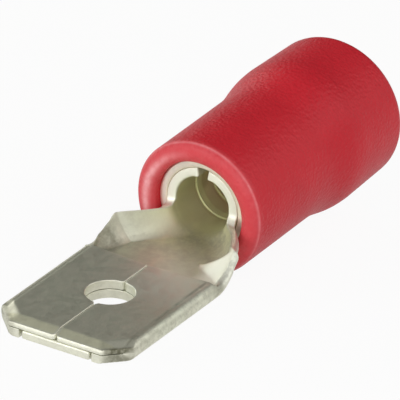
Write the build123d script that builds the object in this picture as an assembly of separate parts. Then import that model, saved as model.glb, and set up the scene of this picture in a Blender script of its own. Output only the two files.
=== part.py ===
from build123d import *
import math
import os

# Male spade terminal, pre-insulated, for a standard 6.3 x 0.8 push-on joint.
# All sizes are in millimetres. The part is drawn with its barrel along X,
# the tab tip at X = 0 and the tab's underside at Z = 0. It is then laid down
# the way it rests on a table: on the tab's tip and the sleeve's front edge.

# Tab, folded double from one sheet
TAB_WIDTH = 6.35
SHEET = 0.40
LAYER_GAP = 0.03
FLAP_LENGTH = 6.80
CORNER_CUT = 1.00
LEAD_IN_LENGTH = 0.32
LEAD_IN_DROP = 0.17
CORNER_UNDERCUT = 0.12
SEAM_GAP = 0.05
SEAM_MOUTH = 0.14
SEAM_DEPTH = 0.09
SLIT_WIDTH = 0.10
SLIT_DEPTH = 0.45
SLIT_SPACING = 3.30

# Latch hole through both layers
HOLE_DIAMETER = 2.00
HOLE_FROM_TIP = 3.95

# Open channel between the tab and the barrel
KINK_FROM_TIP = 8.62
KINK_HALF_WIDTH = 2.78
WALL_HEIGHT = 1.38
SHOULDER_HEIGHT = 0.45
FOOT_HALF_WIDTH = 1.95
KINK_CURVE = 0.90

# Rolled wire barrel with an open seam on top
BARREL_FROM_TIP = 10.80
BARREL_LENGTH = 5.80
BARREL_RADIUS = 1.665
BARREL_SEAM = 0.47
BARREL_CHAMFER = 0.12
BORE_STEP = 0.02
BORE_START = 0.40
GROOVE_STARTS = (1.45, 2.60, 3.75)
GROOVE_WIDTH = 0.30
GROOVE_DEPTH = 0.07
BARREL_FOOT = 0.005
JOIN_STEP = 0.005

# Plain tinned ring pressed over the barrel
RING_WALL = 0.35
RING_LENGTH = 5.40
RING_EDGE = 0.06
RING_CLEARANCE = 0.01

# Moulded insulating sleeve
SLEEVE_FROM_TIP = 10.33
SLEEVE_LENGTH = 11.06
SLEEVE_NECK_RADIUS = 2.94
SLEEVE_NECK_LENGTH = 5.10
SLEEVE_FLARE_RADIUS = 3.265
SLEEVE_FLARE_START = 7.57
SLEEVE_REAR_RADIUS = 3.18
SLEEVE_LIP_DEPTH = 0.30
SLEEVE_REAR_EDGE = 0.42
SLEEVE_BORE_CLEARANCE = 0.005
SLEEVE_ENTRY_RADIUS = 2.55
SLEEVE_ENTRY_LENGTH = 3.60
SLEEVE_FUNNEL_LENGTH = 0.90

TAB_THICKNESS = 2 * SHEET + LAYER_GAP
AXIS_HEIGHT = BARREL_RADIUS


def block(x0, x1, y0, y1, z0, z1):
    """A plain box given by its limits."""
    size = Box(x1 - x0, y1 - y0, z1 - z0)
    return Pos((x0 + x1) / 2, (y0 + y1) / 2, (z0 + z1) / 2) * size


def side_prism(points, half_width):
    """A prism with an outline in X and Z, centred on Y = 0."""
    outline = make_face(Polyline(*[(x, 0, z) for x, z in points], close=True))
    return extrude(outline, amount=half_width, dir=(0, 1, 0), both=True)


def turned(points_wire, height):
    """A body turned about the barrel's axis from an outline in X and Z."""
    return revolve(make_face(points_wire), Axis((0, 0, height), (1, 0, 0)), 360)


def tab_blade():
    """The flat blade: two layers with round folds at both sides."""
    section = Plane.YZ * Pos(0, TAB_THICKNESS / 2) * SlotOverall(
        TAB_WIDTH, TAB_THICKNESS
    )
    blade = extrude(section, amount=FLAP_LENGTH)
    fold = TAB_WIDTH / 2 - SHEET
    blade -= block(-1, FLAP_LENGTH + 1, -fold, fold, SHEET, SHEET + LAYER_GAP)
    return blade - seam_slot() - tip_cuts() - tip_slits() - latch_hole()


def seam_slot():
    """The slot where the two flaps meet, with its small open mouth."""
    slot = block(-1, FLAP_LENGTH + 1, -SEAM_GAP / 2, SEAM_GAP / 2,
                 SHEET + LAYER_GAP / 2, TAB_THICKNESS + 1)
    top = TAB_THICKNESS
    mouth = make_face(Polyline(
        (-1, -SEAM_MOUTH / 2, top + 0.01), (-1, SEAM_MOUTH / 2, top + 0.01),
        (-1, 0, top - SEAM_DEPTH), close=True))
    return slot + extrude(mouth, amount=FLAP_LENGTH + 2, dir=(1, 0, 0))


def tip_cuts():
    """The cut corners in plan and the sloped lead-in on the top layer."""
    half = TAB_WIDTH / 2
    cuts = []
    for side in (-1, 1):
        corner = make_face(Polyline(
            (-0.1, side * (half - CORNER_CUT - 0.1), -1),
            (-0.1, side * (half + 0.1), -1),
            (CORNER_CUT + 0.1, side * (half + 0.1), -1), close=True))
        cuts.append(extrude(corner, amount=TAB_THICKNESS + 2, dir=(0, 0, 1)))
        cuts.append(corner_bevel(side, LEAD_IN_LENGTH, LEAD_IN_DROP, 1))
        cuts.append(corner_bevel(side, CORNER_UNDERCUT, CORNER_UNDERCUT, -1))
    slope = LEAD_IN_DROP / LEAD_IN_LENGTH
    top = TAB_THICKNESS
    cuts.append(side_prism([
        (-0.2, top - LEAD_IN_DROP - 0.2 * slope),
        (LEAD_IN_LENGTH + 0.2, top + 0.2 * slope),
        (-0.2, top + 0.2 * slope)], TAB_WIDTH))
    return Part() + cuts


def corner_bevel(side, run, drop, up):
    """A slope along one cut corner, on the top (up 1) or underside (-1)."""
    half = TAB_WIDTH / 2
    face = TAB_THICKNESS if up > 0 else 0
    mid = Vector(CORNER_CUT / 2, side * (half - CORNER_CUT / 2), face)
    inward = Vector(1, -side, 0).normalized()
    along = Vector(1, side, 0).normalized()
    reach = CORNER_CUT * 1.2
    lift = Vector(0, 0, up * drop * 0.2 / run)
    low = mid - inward * 0.2 - Vector(0, 0, up * drop * (1 + 0.2 / run))
    high = mid + inward * (run + 0.2) + lift
    out = mid - inward * 0.2 + lift
    outline = make_face(Polyline(
        *[point - along * reach for point in (low, high, out)], close=True))
    return extrude(outline, amount=2 * reach, dir=along)


def tip_slits():
    """The two short slits that leave a tongue in the lower layer."""
    slits = []
    for side in (-1, 1):
        y = side * SLIT_SPACING / 2
        slits.append(block(-1, SLIT_DEPTH, y - SLIT_WIDTH / 2,
                           y + SLIT_WIDTH / 2, -1, SHEET + LAYER_GAP / 2))
    return Part() + slits


def latch_hole():
    """The round hole that a mating receptacle's dimple drops into."""
    return Pos(HOLE_FROM_TIP, 0, 0) * Cylinder(HOLE_DIAMETER / 2, 4)


def quarter_bend(x0, y0, x1, y1):
    """A quarter of an ellipse that leaves flat and arrives upright."""
    k = 0.5523
    return Bezier((x0, y0), (x0 + k * (x1 - x0), y0),
                  (x1, y1 - k * (y1 - y0)), (x1, y1))


def channel_section(x, half_width, foot, curve, wall):
    """A U-shaped section of the sheet at one station along X."""
    top = AXIS_HEIGHT + 0.05
    inner = half_width - wall
    edges = [
        Line((-foot, 0), (foot, 0)),
        quarter_bend(foot, 0, half_width, curve),
        Line((half_width, curve), (half_width, top)),
        Line((half_width, top), (inner, top)),
        Line((inner, top), (inner, curve)),
        quarter_bend(foot, wall, inner, curve),
        Line((foot, wall), (-foot, wall)),
        quarter_bend(-foot, wall, -inner, curve),
        Line((-inner, curve), (-inner, top)),
        Line((-inner, top), (-half_width, top)),
        Line((-half_width, top), (-half_width, curve)),
        quarter_bend(-foot, 0, -half_width, curve),
    ]
    return Plane.YZ.offset(x) * make_face(edges)


def ease(t, values, slopes, span):
    """A smooth step between two values with the given end slopes."""
    v0, v1 = values
    m0, m1 = (slope * span for slope in slopes)
    return ((2 * t**3 - 3 * t**2 + 1) * v0 + (t**3 - 2 * t**2 + t) * m0
            + (3 * t**2 - 2 * t**3) * v1 + (t**3 - t**2) * m1)


def channel_stations():
    """Where the channel's section is drawn, from the tab to the barrel."""
    start = TAB_WIDTH / 2 - JOIN_STEP
    fold = TAB_THICKNESS / 2
    end = BARREL_RADIUS
    kink_curve = KINK_CURVE
    front = KINK_FROM_TIP - FLAP_LENGTH
    back = BARREL_FROM_TIP - KINK_FROM_TIP
    taper = (KINK_HALF_WIDTH - end) / back
    foot_taper = FOOT_HALF_WIDTH / back
    lift = (AXIS_HEIGHT - kink_curve) / back
    rows = []
    for step in range(5):
        t = step / 4
        rows.append((
            FLAP_LENGTH + t * front,
            ease(t, (start, KINK_HALF_WIDTH), (0, -taper), front),
            ease(t, (start - fold, FOOT_HALF_WIDTH), (0, -foot_taper), front),
            ease(t, (fold, kink_curve), (0, lift), front),
            SHEET))
    for step in range(1, 5):
        t = step / 4
        rows.append((
            KINK_FROM_TIP + t * back,
            KINK_HALF_WIDTH - t * (KINK_HALF_WIDTH - end),
            FOOT_HALF_WIDTH - t * (FOOT_HALF_WIDTH - BARREL_FOOT),
            kink_curve + t * (AXIS_HEIGHT - kink_curve),
            SHEET))
    return rows


def open_channel():
    """The channel: the sheet opens from the folded tab to the round barrel."""
    shell = loft([channel_section(*row) for row in channel_stations()])
    return shell - above_walls()


def above_walls():
    """What the blank's outline leaves out above the channel's walls."""
    x0 = FLAP_LENGTH
    x1 = KINK_FROM_TIP
    low = SHOULDER_HEIGHT
    high = WALL_HEIGHT
    rise = Spline(
        (x0, 0, low), (x0 + 0.45 * (x1 - x0), 0, low + 0.25 * (high - low)),
        (x0 + 0.80 * (x1 - x0), 0, low + 0.68 * (high - low)),
        (x1 - 0.06, 0, high - 0.06))
    outline = [
        Line((x0 - 1, 0, low), (x0, 0, low)), rise,
        Line((x1 - 0.06, 0, high - 0.06), (x1 + 0.06, 0, high)),
        Line((x1 + 0.06, 0, high), (BARREL_FROM_TIP + 1, 0, high)),
        Line((BARREL_FROM_TIP + 1, 0, high), (BARREL_FROM_TIP + 1, 0, 9)),
        Line((BARREL_FROM_TIP + 1, 0, 9), (x0 - 1, 0, 9)),
        Line((x0 - 1, 0, 9), (x0 - 1, 0, low)),
    ]
    return extrude(make_face(outline), amount=9, dir=(0, 1, 0), both=True)


def round_outline(radius):
    """A round outline that matches the channel's end, closed on itself."""
    axis = AXIS_HEIGHT
    low = axis - radius
    high = axis + radius
    foot = BARREL_FOOT
    return make_face([
        Line((-foot, low), (foot, low)),
        quarter_bend(foot, low, radius, axis),
        quarter_bend(foot, high, radius, axis),
        Line((foot, high), (-foot, high)),
        quarter_bend(-foot, high, -radius, axis),
        quarter_bend(-foot, low, -radius, axis),
    ])


def wire_barrel():
    """The rolled barrel with its seam on top and its grip grooves inside."""
    x0 = BARREL_FROM_TIP
    x1 = x0 + BARREL_LENGTH
    outer = BARREL_RADIUS
    inner = outer - SHEET
    section = Plane.YZ.offset(x0) * (round_outline(outer) - round_outline(inner))
    wall = extrude(section, amount=BARREL_LENGTH, dir=(1, 0, 0))
    bore = inner + BORE_STEP
    b0 = x0 + BORE_START
    wall -= bore_cut([
        (b0 - 0.05 - BORE_STEP, inner - 0.05), (b0, bore),
        (x1 + 1, bore), (x1 + 1, inner - 0.05)])
    for start in GROOVE_STARTS:
        wall -= bore_cut([
            (x0 + start, inner - 0.2), (x0 + start, bore + GROOVE_DEPTH),
            (x0 + start + GROOVE_WIDTH, bore + GROOVE_DEPTH),
            (x0 + start + GROOVE_WIDTH, inner - 0.2)])
    mouth = bore_cut([
        (x0 - 0.1, inner - 0.2), (x0 - 0.1, inner + BARREL_CHAMFER + 0.1),
        (x0 + BARREL_CHAMFER + 0.2, inner - 0.2)])
    upper = block(x0 - 1, x1, -9, 9, WALL_HEIGHT + 0.02, 9)
    return wall - (mouth & upper) - block(
        x0 - 1, x1 + 1, -BARREL_SEAM / 2, BARREL_SEAM / 2,
        AXIS_HEIGHT, AXIS_HEIGHT + 2 * outer)


def bore_cut(points):
    """A turned cutter about the barrel's axis, from stations and radii."""
    axis = AXIS_HEIGHT
    return turned(Polyline(*[(x, 0, axis + r) for x, r in points],
                           close=True), axis)


def blade_terminal():
    """The one folded and rolled sheet: tab, channel and barrel."""
    return tab_blade() + open_channel() + wire_barrel()


def support_ring():
    """The plain ring that closes the barrel's seam when it is crimped."""
    x0 = BARREL_FROM_TIP
    x1 = x0 + RING_LENGTH
    r0 = BARREL_RADIUS + RING_CLEARANCE
    r1 = r0 + RING_WALL
    e = RING_EDGE
    points = [(x0 + e, r0), (x0, r0 + e), (x0, r1 - e), (x0 + e, r1),
              (x1 - e, r1), (x1, r1 - e), (x1, r0 + e), (x1 - e, r0)]
    axis = AXIS_HEIGHT
    return turned(Polyline(*[(x, 0, axis + r) for x, r in points],
                           close=True), axis)


def insulating_sleeve():
    """The moulded sleeve: neck, flare and a funnel for the wire."""
    axis = AXIS_HEIGHT
    x0 = SLEEVE_FROM_TIP
    x1 = x0 + SLEEVE_LENGTH
    bore = (BARREL_RADIUS + RING_CLEARANCE + RING_WALL
            + SLEEVE_BORE_CLEARANCE)
    neck = SLEEVE_NECK_RADIUS
    flare = SLEEVE_FLARE_RADIUS
    rear = SLEEVE_REAR_RADIUS
    n1 = x0 + SLEEVE_NECK_LENGTH
    f0 = x0 + SLEEVE_FLARE_START
    lip = x0 + SLEEVE_LIP_DEPTH
    crest = (bore + neck) / 2
    k = 0.5523 * SLEEVE_LIP_DEPTH
    h = 0.5523 * (neck - crest)
    re = SLEEVE_REAR_EDGE
    entry = x1 - SLEEVE_ENTRY_LENGTH
    funnel = entry - SLEEVE_FUNNEL_LENGTH

    def at(x, r):
        return (x, 0, axis + r)

    bend = 0.45 * (f0 - n1)
    outline = [
        Bezier(at(lip, bore), at(lip - k, bore), at(x0, crest - h),
               at(x0, crest)),
        Bezier(at(x0, crest), at(x0, crest + h), at(lip - k, neck),
               at(lip, neck)),
        Line(at(lip, neck), at(n1, neck)),
        Bezier(at(n1, neck), at(n1 + bend, neck), at(f0 - bend, flare),
               at(f0, flare)),
        Line(at(f0, flare), at(x1 - re, rear)),
        Bezier(at(x1 - re, rear), at(x1 - 0.45 * re, rear),
               at(x1, rear - 0.45 * re), at(x1, rear - re)),
        Line(at(x1, rear - re), at(x1, SLEEVE_ENTRY_RADIUS + 0.08)),
        Line(at(x1, SLEEVE_ENTRY_RADIUS + 0.08),
             at(x1 - 0.08, SLEEVE_ENTRY_RADIUS)),
        Line(at(x1 - 0.08, SLEEVE_ENTRY_RADIUS),
             at(entry, SLEEVE_ENTRY_RADIUS)),
        Line(at(entry, SLEEVE_ENTRY_RADIUS), at(funnel, bore)),
        Line(at(funnel, bore), at(lip, bore)),
    ]
    return turned(outline, axis)


def rest_tilt():
    """The angle, in degrees, at which it lies on the tip and the sleeve."""
    bore = (BARREL_RADIUS + RING_CLEARANCE + RING_WALL
            + SLEEVE_BORE_CLEARANCE)
    half = (SLEEVE_NECK_RADIUS - bore) / 2
    depth = SLEEVE_LIP_DEPTH
    x = SLEEVE_FROM_TIP + depth
    z = SLEEVE_NECK_RADIUS - half - AXIS_HEIGHT
    angle = 0.0
    for _ in range(30):
        reach = math.hypot(depth * math.sin(angle), half * math.cos(angle))
        angle = math.atan2(z, x) + math.asin(reach / math.hypot(x, z))
    return math.degrees(angle)


def laid_down(shapes):
    """Turn the part to its resting angle, on Z = 0 and centred on the origin."""
    tilted = [Rot(0, -rest_tilt(), 0) * shape for shape in shapes]
    boxes = [shape.bounding_box() for shape in tilted]
    middle = (min(box.min.X for box in boxes)
              + max(box.max.X for box in boxes)) / 2
    drop = min(box.min.Z for box in boxes)
    return [Pos(-middle, 0, -drop) * shape for shape in tilted]


def main():
    """Build every piece and write one file for each."""
    names = ("blade_terminal", "support_ring", "insulating_sleeve")
    shapes = laid_down([blade_terminal(), support_ring(), insulating_sleeve()])
    os.makedirs("parts", exist_ok=True)
    for name, shape in zip(names, shapes):
        export_step(shape, f"parts/{name}.step")


main()
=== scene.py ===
"""Dress the male spade terminal and set it in a plain white studio.

The terminal is three pieces: one folded and rolled sheet, a plain ring pressed
over its barrel, and a moulded sleeve. Each piece is drawn in millimetres, with
the tab's tip at X = 0 and the tab's underside at Z = 0, and is then laid down
at the part's resting angle. Left is the +Y side.
"""

from __future__ import annotations

import logging
import math
from dataclasses import dataclass
from enum import Enum

import bmesh
import bpy
import numpy as np
from mathutils import Matrix, Vector, geometry, kdtree

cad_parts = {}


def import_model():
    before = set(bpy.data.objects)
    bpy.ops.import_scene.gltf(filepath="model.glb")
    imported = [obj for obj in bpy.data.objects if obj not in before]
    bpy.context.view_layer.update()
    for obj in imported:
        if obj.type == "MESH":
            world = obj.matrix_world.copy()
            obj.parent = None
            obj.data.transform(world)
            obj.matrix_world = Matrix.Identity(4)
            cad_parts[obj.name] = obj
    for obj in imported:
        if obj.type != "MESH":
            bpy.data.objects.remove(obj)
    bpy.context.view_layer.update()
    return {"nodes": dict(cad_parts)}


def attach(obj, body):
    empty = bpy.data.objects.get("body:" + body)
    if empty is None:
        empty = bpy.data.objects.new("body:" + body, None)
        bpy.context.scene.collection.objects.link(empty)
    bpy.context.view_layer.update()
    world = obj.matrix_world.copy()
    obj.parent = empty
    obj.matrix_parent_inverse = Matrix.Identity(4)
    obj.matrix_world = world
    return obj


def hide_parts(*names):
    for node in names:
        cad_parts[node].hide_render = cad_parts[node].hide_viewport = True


LOG = logging.getLogger("terminal")
MM = 0.001
TINY = 1e-6
ROOT_2 = math.sqrt(2)
FULL_TURN = 2 * math.pi
QUARTER_TURN = math.pi / 2

Array = np.ndarray
NodeSocket = bpy.types.NodeSocket
Faces = list[tuple[int, ...]]
RGB = tuple[float, float, float]
XYZ = tuple[float, float, float]
XY = tuple[float, float]
Sizes = tuple[float, ...]
EdgeRow = tuple[float, float, float, float]


@dataclass(frozen=True)
class RestPose:
    """How the drawn part lies on the floor.

    Attributes:
        tilt: angle in degrees by which the barrel's axis rises.
        middle: place along X, in millimetres, that becomes the origin.
    """

    tilt: float = 6.847150565655877
    middle: float = 10.64615166

    def lay_down(self, points: Array) -> Array:
        """Turn drawn points in millimetres into resting points in metres.

        Args:
            points: drawn points, one to a row.

        Returns:
            The same points as they lie on the floor, in metres.
        """
        turn = math.radians(self.tilt)
        cos, sin = math.cos(turn), math.sin(turn)
        x = points[:, 0] * cos - points[:, 2] * sin - self.middle
        z = points[:, 0] * sin + points[:, 2] * cos
        return np.stack([x, points[:, 1], z], axis=1) * MM


POSE = RestPose()


def ramp(value: Array, none: float | Array, full: float | Array) -> Array:
    """Rise evenly from 0 at one place to 1 at another, which may be lower."""
    return np.clip((value - none) / (full - none), 0, 1)


def bell(value: Array, centre: float, width: float, power: int = 2) -> Array:
    """Give 1 at the centre, fading out over the width to both sides."""
    return np.exp(-(((value - centre) / width) ** power))


def soft_min(a: Array, b: float | Array, blend: float) -> Array:
    """Take the smaller of two values with a rounded change-over of a given size."""
    low = np.minimum(a, b)
    return low - blend * np.log(np.exp(-(a - low) / blend) + np.exp(-(b - low) / blend))


def smooth_through(x: Array, knots: Sizes, values: Sizes) -> Array:
    """Read a smooth curve that passes through its knots without overshoot.

    Args:
        x: where to read the curve.
        knots: rising places of the knots.
        values: the curve's values there.

    Returns:
        The curve's value at each x.
    """
    at, val = np.asarray(knots, float), np.asarray(values, float)
    step = np.diff(at)
    rise = np.diff(val) / step
    slope = np.zeros_like(val)
    slope[0], slope[-1] = rise[0], rise[-1]
    same = rise[:-1] * rise[1:] > 0
    inner = np.zeros_like(rise[:-1])
    inner[same] = 2 * rise[:-1][same] * rise[1:][same] / (rise[:-1] + rise[1:])[same]
    slope[1:-1] = inner
    x = np.clip(np.asarray(x, float), at[0], at[-1])
    i = np.clip(np.searchsorted(at, x) - 1, 0, len(step) - 1)
    t = (x - at[i]) / step[i]
    return ((2 * t**3 - 3 * t**2 + 1) * val[i]
            + (t**3 - 2 * t**2 + t) * step[i] * slope[i]
            + (3 * t**2 - 2 * t**3) * val[i + 1]
            + (t**3 - t**2) * step[i] * slope[i + 1])


def inside_loops(points: Array, loops: list[Array]) -> Array:
    """Tell which points lie inside a set of closed edges.

    Args:
        points: the points to test.
        loops: closed edges, the outer one and the holes.

    Returns:
        True for each point inside the sheet.
    """
    odd = np.zeros(len(points), bool)
    for loop in loops:
        for (x0, y0), (x1, y1) in zip(loop, np.roll(loop, -1, axis=0)):
            if y0 == y1:
                continue
            crosses = (y0 > points[:, 1]) != (y1 > points[:, 1])
            at = x0 + (points[:, 1] - y0) * (x1 - x0) / (y1 - y0)
            odd ^= crosses & (points[:, 0] < at)
    return odd


class Axis(Enum):
    """Directions along which a mark on the sheet is limited."""

    ALONG = 0
    ACROSS = 1
    UP = 2


X, Y, Z = Axis


@dataclass(frozen=True)
class Fade:
    """A limit past which a mark has ended.

    Attributes:
        axis: direction of the limit.
        none: where the mark has ended.
        full: where it is full.
    """

    axis: Axis
    none: float
    full: float

    def share(self, points: Array) -> Array:
        """Give from 0 to 1 how full the mark is at each point."""
        return ramp(points[:, self.axis.value], self.none, self.full)


@dataclass(frozen=True)
class Spot:
    """A limit that leaves a mark full at its centre only.

    Attributes:
        axis: direction of the limit.
        centre: where the mark is full.
        width: how far it reaches to both sides.
        power: how square its fall is, an even number.
    """

    axis: Axis
    centre: float
    width: float
    power: int = 2

    def share(self, points: Array) -> Array:
        """Give from 0 to 1 how full the mark is at each point."""
        return bell(points[:, self.axis.value], self.centre, self.width, self.power)


def above(axis: Axis, place: float) -> Fade:
    """Limit a mark sharply to what lies past a place."""
    return Fade(axis, place, place + TINY)


def below(axis: Axis, place: float) -> Fade:
    """Limit a mark sharply to what lies before a place."""
    return Fade(axis, place, place - TINY)


@dataclass(frozen=True)
class Mark:
    """A place on the sheet where the finish differs.

    Attributes:
        strength: how much it differs, or less than 0 to weaken other marks.
        limits: what limits the place.
    """

    strength: float
    limits: tuple[Fade | Spot, ...]

    def share(self, points: Array) -> Array:
        """Give the strength that all the limits leave at each drawn point."""
        shares = np.array([limit.share(points) for limit in self.limits])
        return self.strength * np.prod(shares, axis=0)


SHOULDER = (Fade(X, 7.10, 7.60), Fade(X, 8.9, 8.5), Fade(Y, -1.6, -2.1),
            above(Z, 0.30))
FOLD_RUN = (Fade(X, 0.2, 0.5), Fade(X, 8.9, 8.3))
RIGHT_CORNER = Mark(1.0, (Spot(X, 0.50, 0.44, 6), below(X, 1.3),
                          below(Y, -1.9)))
LEFT_CORNER = Mark(0.30, (below(X, 1.3), above(Y, 1.9)))


class Wear(Enum):
    """Where the sheet's colour differs, by the name that its mesh carries; some marks
    are wear, others painted shade and painted light.
    """

    # Painted shade in the crease along the right fold
    PAINTED_FOLD_SHADE = (
        Mark(0.55, (Spot(Y, -2.75, 0.075), above(Z, 0.6),
                    Fade(X, 0.6, 1.0), Fade(X, 7.0, 6.7))),)
    # Darker and rougher, in order: painted shade at the barrel's mouth and on
    # the right wall; the left fold; painted shade on the left wall's facet; the
    # tip's slope; the left wall; painted shade in the right slit and on the floor
    STAIN_AND_SHADE = (
        Mark(0.52, (Spot(X, 10.30, 0.65), Spot(Y, -0.40, 1.25, 4),
                    below(Z, 1.0))),
        Mark(0.22, (Fade(X, 8.75, 9.0), Fade(X, 11.0, 10.6),
                    Fade(Y, -0.7, -1.5))),
        Mark(0.40, (Fade(Y, 2.84, 2.92), Fade(X, 6.9, 6.6),
                    above(X, 0.9))),
        Mark(0.56, (Fade(X, 8.45, 8.10), Fade(X, 6.75, 6.95),
                    Fade(Y, 2.0, 2.4))),
        Mark(0.12, (Fade(Z, 0.62, 0.66), Fade(X, 0.50, 0.44))),
        Mark(0.08, (above(X, 8.0), below(X, 9.8), Fade(Y, 1.6, 2.0))),
        Mark(0.50, (Fade(X, 7.50, 7.05), Fade(X, 6.45, 6.95),
                    Fade(Y, -2.2, -2.7), above(Z, 0.30))),
        Mark(0.15, (Spot(X, 8.9, 0.9), below(Z, 0.6),
                    Fade(Y, -1.2, -0.6))),
    )
    # Painted highlight, paler and less metallic: the barrel's front and the right
    # shoulder
    PAINTED_SHINE = (
        Mark(1.0, (Spot(X, 10.80, 0.06), above(Z, 1.5))),
        Mark(1.0, SHOULDER),
        Mark(-0.35, (*SHOULDER, Fade(Y, -2.7, -2.9))),
    )
    # The pitted skin on the outside of both folds
    PITTED = (Mark(1.0, (Fade(Y, 2.85, 2.97), *FOLD_RUN)),
              Mark(1.0, (Fade(Y, -2.85, -2.97), *FOLD_RUN)))
    # A yellower tone in the barrel and on the tip's slopes
    HOLLOW = (Mark(1.0, (Fade(X, 8.8, 11.0),)),
              Mark(0.45, (Fade(Z, 0.62, 0.66), Fade(X, 0.48, 0.42))))
    # Painted reflection: a greyer, greener tone on the tab's right rear, in place of
    # the sleeve's red reflection
    PAINTED_REFLECTION = (Mark(0.75, (Spot(X, 6.4, 2.0, 4), above(Z, 0.38),
                        Fade(Y, 0.4, -1.0), Fade(Y, -3.1, -2.8))),)

    def share(self, points: Array) -> Array:
        """Give from 0 to 1 how strong the wear is at each drawn point."""
        return np.clip(sum(mark.share(points) for mark in self.value), 0, 1)


@dataclass
class EdgeLoop:
    """One closed edge of the flat sheet.

    Attributes:
        points: places along the edge, as X and distance along the section.
        outer_round: depth of the edge rounding on the sheet's outer side.
        inner_round: edge rounding on the sheet's inner side.
        outer_cut: how far the outer side's edge is set back.
        hole: whether the loop is the edge of a hole.
        blunt: least cosine taken at a corner, so that offsets stay short.
        slant: how straight the widest edges are cut instead of rounded.
        slant_from: set-back at which the slant starts, and is full.
    """

    points: Array
    outer_round: Array
    inner_round: Array
    outer_cut: Array
    hole: bool = False
    blunt: float = 0.6
    slant: float = 0.75
    slant_from: XY = (0.3, 0.5)

    def inward(self) -> Array:
        """Find the direction into the sheet at every point of the edge.

        Returns:
            One direction to a row, longer at corners so that offsets meet.
        """
        before, after = (np.roll(self.points, by, axis=0) for by in (1, -1))
        lefts = []
        for step in (self.points - before, after - self.points):
            step /= np.linalg.norm(step, axis=1, keepdims=True)
            lefts.append(np.stack([-step[:, 1], step[:, 0]], axis=1))
        mid = lefts[0] + lefts[1]
        mid /= np.linalg.norm(mid, axis=1, keepdims=True)
        scale = 1.0 / np.clip(np.sum(mid * lefts[0], axis=1), self.blunt, 1.0)
        area = np.sum(self.points[:, 0] * after[:, 1] - after[:, 0] * self.points[:, 1])
        sign = 1.0 if (area > 0) != self.hole else -1.0
        return mid * (scale * sign)[:, None]

    def rounding(self, side: int, share: float, half: float) -> tuple[Array, Array]:
        """Give one row of the rounded edge.

        Args:
            side: 1 for the sheet's outer side, -1 for its inner side.
            share: how far round its quarter turn the row lies, from 0 to 1.
            half: half of the sheet's thickness.

        Returns:
            How far the row is set in, and its distance outward from the middle.
        """
        sin, cos = math.sin(share * QUARTER_TURN), math.cos(share * QUARTER_TURN)
        if side < 0:
            return self.inner_round * (1 - cos), self.inner_round * (1 - sin) - half
        slant = self.slant * ramp(self.outer_cut, *self.slant_from)
        inset = self.outer_cut * (1 - sin + slant * (sin - share))
        return inset, half - self.outer_round * (1 - cos + slant * (share - 1 + cos))


class EdgeWalk:
    """A walk along the flat sheet's edge.

    Each row holds X, distance along the section, outer and inner rounding. A
    rounding is given as those last two.
    """

    def __init__(self) -> None:
        """Start without rows."""
        self.rows: list[EdgeRow] = []

    def add(self, x: float, u: float, rounding: XY) -> None:
        """Add one point."""
        self.rows.append((x, u, *rounding))

    def run(self, start: XY, end: XY, step: float, rounding: XY) -> None:
        """Add a straight run up to, but without, its end.

        Args:
            start: where it starts.
            end: where it ends.
            step: distance from point to point.
            rounding: rounding of both sides.
        """
        count = max(1, round(math.dist(start, end) / step))
        for i in range(count):
            k = i / count
            self.add(start[0] + k * (end[0] - start[0]),
                     start[1] + k * (end[1] - start[1]), rounding)

    def turn(self, centre: XY, radius: float, degrees: XY, count: int,
             rounding: XY) -> None:
        """Add a small arc.

        Args:
            centre: its centre.
            radius: its radius.
            degrees: its first and last angle.
            count: number of steps.
            rounding: rounding of both sides.
        """
        start, end = degrees
        for i in range(count + 1):
            angle = math.radians(start + (end - start) * i / count)
            self.add(centre[0] + radius * math.cos(angle),
                     centre[1] + radius * math.sin(angle), rounding)


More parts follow.
